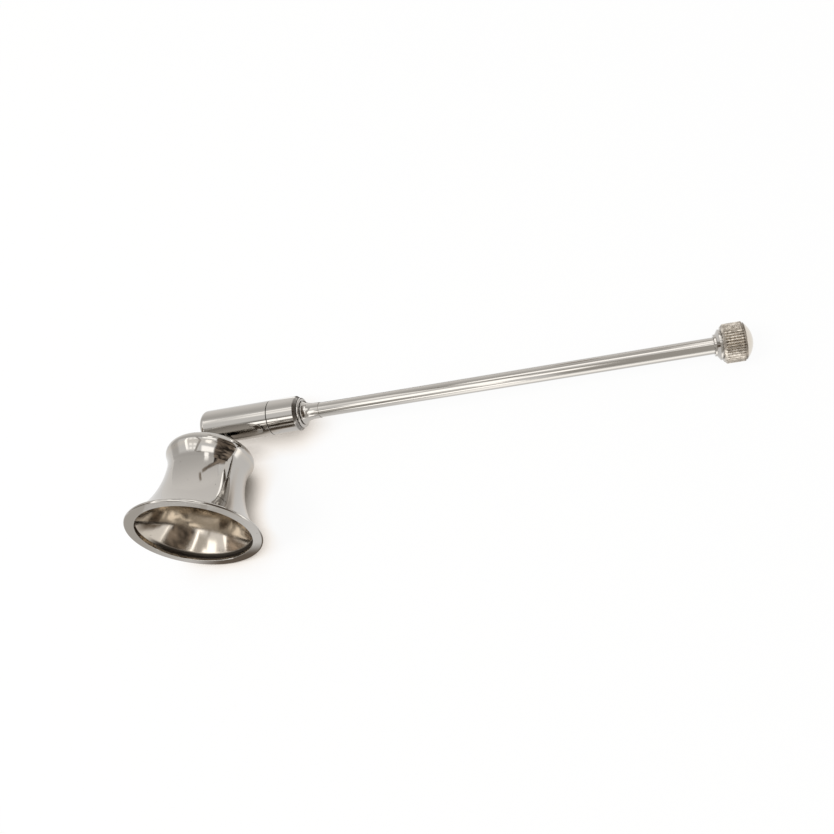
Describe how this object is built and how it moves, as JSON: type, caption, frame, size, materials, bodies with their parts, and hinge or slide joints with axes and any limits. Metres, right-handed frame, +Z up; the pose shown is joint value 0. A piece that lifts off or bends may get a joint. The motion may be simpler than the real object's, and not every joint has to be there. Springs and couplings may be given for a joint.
{
  "type": "candle snuffer",
  "caption": "Candle snuffer: a small polished bell swings on a pin in the slotted end of a slim straight metal handle with a knurled end knob.",
  "frame": {"origin": "on the table, below the middle of the whole snuffer's box as it lies at rest", "axes": "+X along the handle from the bell's end to the knob, +Z up from the table, the bell's mouth faces -Y and about 14 degrees up"},
  "size_m": [0.1808, 0.048, 0.0388],
  "materials": {
    "bell_chrome": "polished",
    "polished_chrome": "polished",
    "knurled_nickel": "satin",
    "plated_steel": "satin"
  },
  "bodies": {
    "handle": {"head_barrel": "polished_chrome", "pivot_pin": "plated_steel", "ferrule": "polished_chrome", "handle_tube": "polished_chrome", "knob_collar": "polished_chrome", "knob": "knurled_nickel", "knob_stud": "plated_steel"},
    "bell_head": {"bell": "bell_chrome", "hinge_eye": "plated_steel", "crown_washer": "plated_steel", "crown_screw": "plated_steel"}
  },
  "joints": [
    {"name": "bell_swing", "type": "hinge", "parent": "handle", "child": "bell_head", "pos_m": [-0.07065, 0.01845, 0.01003], "axis": [-0.0283, -0.2449, -0.9691], "range_deg": [-18, 105]}
  ]
}
